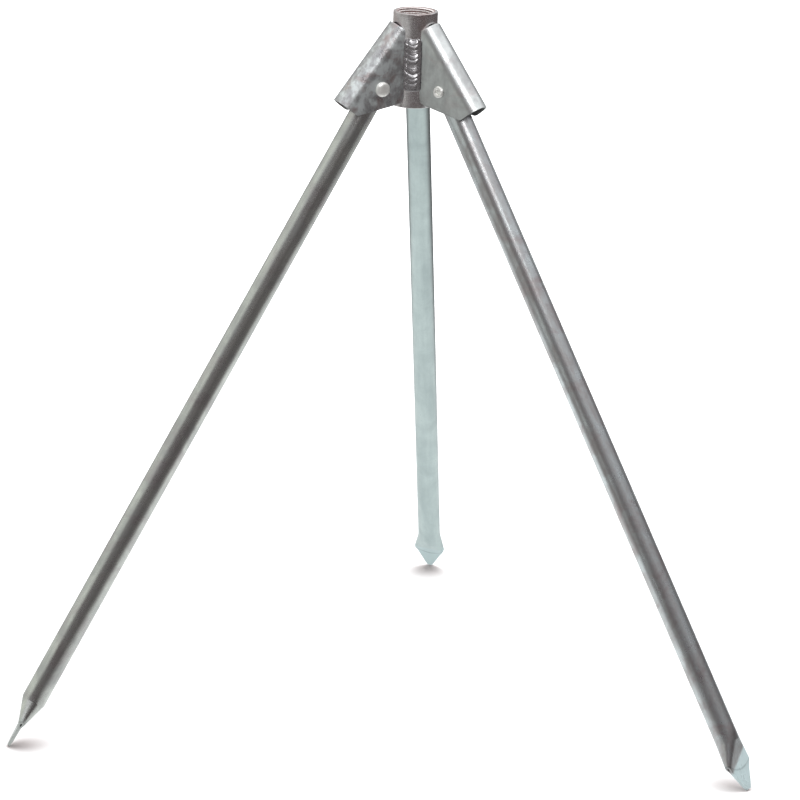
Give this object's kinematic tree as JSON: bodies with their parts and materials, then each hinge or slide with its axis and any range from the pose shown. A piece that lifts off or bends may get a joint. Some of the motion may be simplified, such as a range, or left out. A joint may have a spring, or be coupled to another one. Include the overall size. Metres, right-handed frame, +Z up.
{
  "type": "folding tripod stand",
  "caption": "Folding three-legged steel stand: splayed tube legs with flattened pointed feet, riveted in welded channel brackets around a threaded pipe socket.",
  "frame": {"origin": "on the socket's axis where the upper thread begins, 1.2 mm below the rim; the feet are 647.1 mm below it", "axes": "+Z up along the socket axis; +Y is the direction of the rear leg, the other two legs stand 120 degrees either side of it"},
  "size_m": [0.6665, 0.5834, 0.6483],
  "materials": {
    "zinc_socket": "turned steel pipe, bright zinc plated, bare-looking cut threads",
    "zinc_sheet": "pressed steel sheet, zinc plated, satin with dull patches near the welds",
    "zinc_tube": "steel tube, blue-white zinc plated, mottled and streaked along its length",
    "zinc_rivet": "zinc plated rivet, smooth domed head",
    "weld_metal": "rippled weld bead plated over with zinc"
  },
  "bodies": {
    "head": {"threaded_socket": "zinc_socket", "bracket_rear": "zinc_sheet", "bracket_left": "zinc_sheet", "bracket_right": "zinc_sheet", "weld_bead_front": "weld_metal", "weld_bead_rear_left": "weld_metal", "weld_bead_rear_right": "weld_metal", "pivot_rivet_rear": "zinc_rivet", "pivot_rivet_left": "zinc_rivet", "pivot_rivet_right": "zinc_rivet"},
    "leg_rear": {"leg_rear": "zinc_tube"},
    "leg_left": {"leg_left": "zinc_tube"},
    "leg_right": {"leg_right": "zinc_tube"}
  },
  "joints": [
    {"name": "leg_rear_fold", "type": "hinge", "parent": "head", "child": "leg_rear", "pos_m": [0, 0.0364, -0.0656], "axis": [-1, 0, 0], "range_deg": [0, 31]},
    {"name": "leg_left_fold", "type": "hinge", "parent": "head", "child": "leg_left", "pos_m": [-0.03152, -0.0182, -0.0656], "axis": [0.5, -0.866, 0], "range_deg": [0, 31]},
    {"name": "leg_right_fold", "type": "hinge", "parent": "head", "child": "leg_right", "pos_m": [0.03152, -0.0182, -0.0656], "axis": [0.5, 0.866, 0], "range_deg": [0, 31]}
  ]
}
